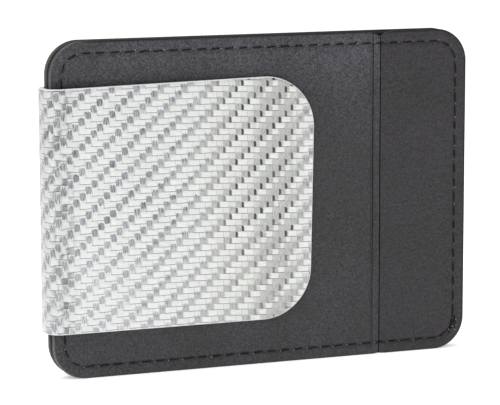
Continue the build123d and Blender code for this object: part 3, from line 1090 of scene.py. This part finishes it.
strip_low = STRIP_LOW - Vector((SLIT_CLOSING, 0, 0))
face_cover = case_leather(
    "pocket_face_cover", FACE_LOW, FACE_HIGH,
    mouth="right", outward=-1, seed=3.1, material=panel_leather,
)
strip_cover = case_leather(
    "thumb_strip_cover", strip_low, STRIP_HIGH,
    mouth="left", outward=-1, seed=8.4, material=strip_leather,
)
rear_cover = case_leather(
    "rear_cover", REAR_LOW, REAR_HIGH,
    mouth=None, outward=1, seed=5.7, material=panel_leather,
)
for piece, node in (
    (face_cover, "pocket_face_leather"),
    (strip_cover, "thumb_strip_leather"),
    (rear_cover, "rear_leather"),
    (sleeve_cover(strip_leather), "clip_sleeve_leather"),
):
    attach(piece, "case")
    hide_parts(node)

seams = (
    ("front_seam_thread", perimeter_segments(FACE_LOW.y, rng), -1, "front_seam_stitches"),
    ("front_lock_thread", lock_segments(FACE_LOW.y, rng), -1, "front_lock_stitches"),
    ("rear_seam_thread", perimeter_segments(REAR_HIGH.y, rng), 1, "rear_seam_stitches"),
    ("sleeve_seam_thread", sleeve_segments(SLEEVE_FACE, rng), 1, "sleeve_seam_stitches"),
)
for name, segments, outward, node in seams:
    piece = seam_threads(name, segments, outward, rng)
    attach(piece, "case")
    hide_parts(node)

# the laminate is one C; it is made in two lengths that meet across the flat of the spine, and only
# the rear length is attached to the case
clip_rear = build_clip("clip_rear_laminate", slice(None, SPINE_COLUMN + 1), twill, laminate_edge)
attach(clip_rear, "case")
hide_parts("clip_rear_outer_twill", "clip_rear_core", "clip_rear_inner_twill")
clip_blade = build_clip("clip_blade_laminate", slice(SPINE_COLUMN, None), twill, laminate_edge)
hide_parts("clip_blade_outer_twill", "clip_blade_core", "clip_blade_inner_twill")
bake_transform(clip_blade)

LININGS = ("pocket_face_lining", "thumb_strip_lining", "pocket_back_lining", "clip_sleeve_lining")
inner_looks = (
    (plain_material("lining_cloth", grey(0.012), 0.8), LININGS),
    (plain_material("filler_leather", grey(0.010), 0.6), ("pocket_filler_strips",)),
    (plain_material("fibre_board", (0.014, 0.012, 0.011, 1), 0.8), ("stiffener_board",)),
    (plain_material("interlining_felt", grey(0.008), 0.9), ("rear_interlining",)),
)
for look, nodes in inner_looks:
    for node in nodes:
        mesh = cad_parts[node].data
        mesh.materials.clear()
        mesh.materials.append(look)


# ---------------------------------------------------------------- studio
FLOOR_HALF = 6.0      # metres


def floor_and_light():
    """White floor and background, a soft key from the front left and a broad light above."""
    mesh = bpy.data.meshes.new("floor")
    a = FLOOR_HALF
    mesh.from_pydata([(-a, -a, 0), (a, -a, 0), (a, a, 0), (-a, a, 0)], [], [(0, 1, 2, 3)])
    floor = bpy.data.objects.new("floor", mesh)
    bpy.context.scene.collection.objects.link(floor)
    g = Graph("pale_floor")
    g.set(Base_Color=grey(0.95), Roughness=0.9, Emission_Color=grey(1.0), Emission_Strength=0.42)
    mesh.materials.append(g.material)

    world = bpy.data.worlds.new("studio")
    world.use_nodes = True
    nodes, links = world.node_tree.nodes, world.node_tree.links
    direction = nodes.new("ShaderNodeTexCoord").outputs["Generated"]
    facing = nodes.new("ShaderNodeVectorMath")
    facing.operation = "DOT_PRODUCT"
    facing.inputs[1].default_value = Vector((-0.55, -0.5, 0.67)).normalized()    # brightest there
    links.new(direction, facing.inputs[0])
    shade = nodes.new("ShaderNodeMapRange")
    span = {"From Min": -0.9, "From Max": 0.7, "To Min": 0.40, "To Max": 0.655}
    for name, value in span.items():
        shade.inputs[name].default_value = value
    links.new(facing.outputs["Value"], shade.inputs["Value"])
    links.new(shade.outputs[0], nodes["Background"].inputs["Strength"])
    nodes["Background"].inputs["Color"].default_value = (1, 1, 1, 1)
    bpy.context.scene.world = world

    lights = (      # name, place in metres, diameter, watts
        ("key_left", (-0.30, -0.26, 0.42), 0.30, 1.2),
        ("top", (0.0, 0.15, 1.0), 0.9, 3.6),
    )
    for name, place, size, power in lights:
        data = bpy.data.lights.new(name, "AREA")
        data.shape = "DISK"
        data.size = size
        data.energy = power
        lamp = bpy.data.objects.new(name, data)
        lamp.location = place
        aim = Vector((0, 0, 0.04)) - Vector(place)
        lamp.rotation_euler = aim.to_track_quat("-Z", "Y").to_euler()
        bpy.context.scene.collection.objects.link(lamp)


CAMERA_PLACE = (-0.1926, -0.4992, 0.1191)               # metres
CAMERA_YAW, CAMERA_PITCH, CAMERA_ROLL = 20.91, 8.74, -0.14    # degrees; pitch is downwards
CAMERA_LENS = 172.0                                     # on a 36 mm sensor


def camera():
    """Long lens from the front left and a little above, as for a product picture."""
    data = bpy.data.cameras.new("camera")
    data.sensor_width = 36.0
    data.lens = CAMERA_LENS
    data.clip_start = 0.01
    data.clip_end = 50.0
    yaw, pitch, roll = (math.radians(a) for a in (CAMERA_YAW, CAMERA_PITCH, CAMERA_ROLL))
    level = Vector((math.sin(yaw), math.cos(yaw), 0.0))
    forward = level * math.cos(pitch) + Vector((0.0, 0.0, -math.sin(pitch)))
    right = Vector((math.cos(yaw), -math.sin(yaw), 0.0))
    up = right.cross(forward)
    tilted_right = right * math.cos(roll) + up * math.sin(roll)
    tilted_up = up * math.cos(roll) - right * math.sin(roll)
    turn = Matrix((tilted_right, tilted_up, -forward)).transposed().to_4x4()
    cam = bpy.data.objects.new("camera", data)
    cam.matrix_world = Matrix.Translation(CAMERA_PLACE) @ turn
    bpy.context.scene.collection.objects.link(cam)
    bpy.context.scene.camera = cam


floor_and_light()
camera()
bpy.context.scene.view_settings.view_transform = "Standard"
